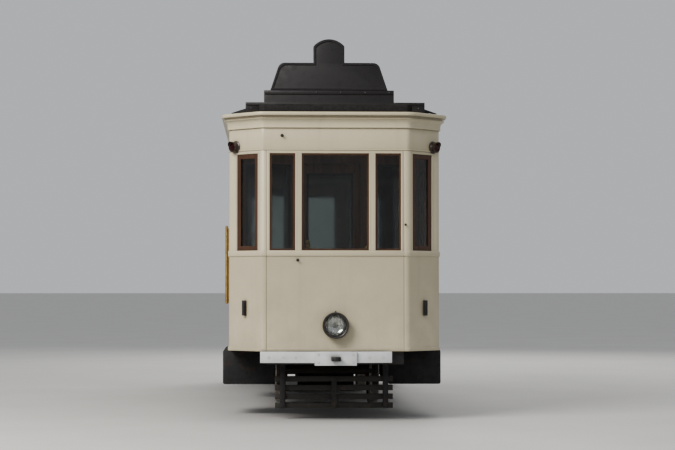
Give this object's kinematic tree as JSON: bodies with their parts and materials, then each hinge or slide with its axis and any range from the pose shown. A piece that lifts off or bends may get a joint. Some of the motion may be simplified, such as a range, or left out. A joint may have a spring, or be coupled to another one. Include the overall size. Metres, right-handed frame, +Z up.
{
  "type": "two-axle tram",
  "caption": "Double-ended two-axle electric tram with enclosed platforms, angled end windows, sliding doors, stepped roof boards and a trolley pole.",
  "frame": {"origin": "centre of the car at the bottoms of the wheel flanges, which stand on the floor", "axes": "+X across the car, +Y along it towards the rear end (the end in the picture faces -Y), +Z up"},
  "size_m": [2.25, 9.2698, 3.77],
  "materials": {
    "cream_paint": "satin",
    "roof_canvas": "matte",
    "board_enamel": "satin",
    "bumper_paint": "satin",
    "black_iron": "matte",
    "motor_iron": "matte",
    "spring_steel": "oiled",
    "wheel_steel": "worn",
    "bench_wood": "varnished",
    "inner_wood": "varnished",
    "floor_wood": "worn",
    "guard_wood": "painted",
    "controller_enamel": "satin",
    "lamp_enamel": "satin",
    "brass": "polished",
    "pole_steel": "satin",
    "glass": "clear"
  },
  "bodies": {
    "car_body": {"axle_boxes": "black_iron", "benches": "bench_wood", "brake_rigging": "black_iron", "bulkhead_glass": "glass", "bulkheads": "inner_wood", "bumpers": "bumper_paint", "controllers": "controller_enamel", "cornice": "cream_paint", "door_handrails": "brass", "door_tracks": "brass", "drawbars": "black_iron", "end_glass": "glass", "end_wall_front": "cream_paint", "end_wall_rear": "cream_paint", "entrance_steps": "black_iron", "floors": "floor_wood", "handbrakes": "brass", "headboards": "board_enamel", "headlamp_glass": "glass", "headlamps": "lamp_enamel", "lamp_brackets": "black_iron", "leaf_springs": "spring_steel", "letterboard": "cream_paint", "lifeguards": "guard_wood", "marker_lamps": "lamp_enamel", "motors": "motor_iron", "pole_rests": "guard_wood", "resistor_boxes": "black_iron", "roof": "roof_canvas", "saloon_door_tracks": "brass", "saloon_glass": "glass", "side_wall_left": "cream_paint", "side_wall_right": "cream_paint", "strap_rails": "brass", "trolley_plank": "guard_wood", "truck_frame": "black_iron", "underframe": "black_iron", "vestibule_sides_front": "cream_paint", "vestibule_sides_rear": "cream_paint"},
    "wheelset_front": {"wheelset_front": "wheel_steel"},
    "wheelset_rear": {"wheelset_rear": "wheel_steel"},
    "trolley_swivel": {"trolley_base": "pole_steel"},
    "trolley_arm": {"trolley_pole": "pole_steel"},
    "platform_door_front_left": {"door_front_left": "cream_paint", "door_glass_front_left": "glass"},
    "platform_door_front_right": {"door_front_right": "cream_paint", "door_glass_front_right": "glass"},
    "platform_door_rear_left": {"door_rear_left": "cream_paint", "door_glass_rear_left": "glass"},
    "platform_door_rear_right": {"door_rear_right": "cream_paint", "door_glass_rear_right": "glass"},
    "saloon_door_leaf_front": {"saloon_door_front": "inner_wood", "saloon_door_glass_front": "glass"},
    "saloon_door_leaf_rear": {"saloon_door_rear": "inner_wood", "saloon_door_glass_rear": "glass"}
  },
  "joints": [
    {"name": "wheels_front_spin", "type": "hinge", "parent": "car_body", "child": "wheelset_front", "pos_m": [0, -1.4, 0.4], "axis": [1, 0, 0], "continuous": true},
    {"name": "wheels_rear_spin", "type": "hinge", "parent": "car_body", "child": "wheelset_rear", "pos_m": [0, 1.4, 0.4], "axis": [1, 0, 0], "continuous": true},
    {"name": "platform_door_front_left_slide", "type": "slide", "parent": "car_body", "child": "platform_door_front_left", "axis": [0, -1, 0], "range_m": [0, 0.64]},
    {"name": "platform_door_front_right_slide", "type": "slide", "parent": "car_body", "child": "platform_door_front_right", "axis": [0, -1, 0], "range_m": [0, 0.64]},
    {"name": "platform_door_rear_left_slide", "type": "slide", "parent": "car_body", "child": "platform_door_rear_left", "axis": [0, 1, 0], "range_m": [0, 0.64]},
    {"name": "platform_door_rear_right_slide", "type": "slide", "parent": "car_body", "child": "platform_door_rear_right", "axis": [0, 1, 0], "range_m": [0, 0.64]},
    {"name": "saloon_door_front_slide", "type": "slide", "parent": "car_body", "child": "saloon_door_leaf_front", "axis": [1, 0, 0], "range_m": [0, 0.645]},
    {"name": "saloon_door_rear_slide", "type": "slide", "parent": "car_body", "child": "saloon_door_leaf_rear", "axis": [1, 0, 0], "range_m": [0, 0.645]},
    {"name": "trolley_swivel_turn", "type": "hinge", "parent": "car_body", "child": "trolley_swivel", "pos_m": [0, 0, 3.3], "axis": [0, 0, 1], "range_deg": [-180, 180]},
    {"name": "trolley_arm_raise", "type": "hinge", "parent": "trolley_swivel", "child": "trolley_arm", "pos_m": [0, 0, 3.4], "axis": [1, 0, 0], "range_deg": [0, 60]}
  ]
}
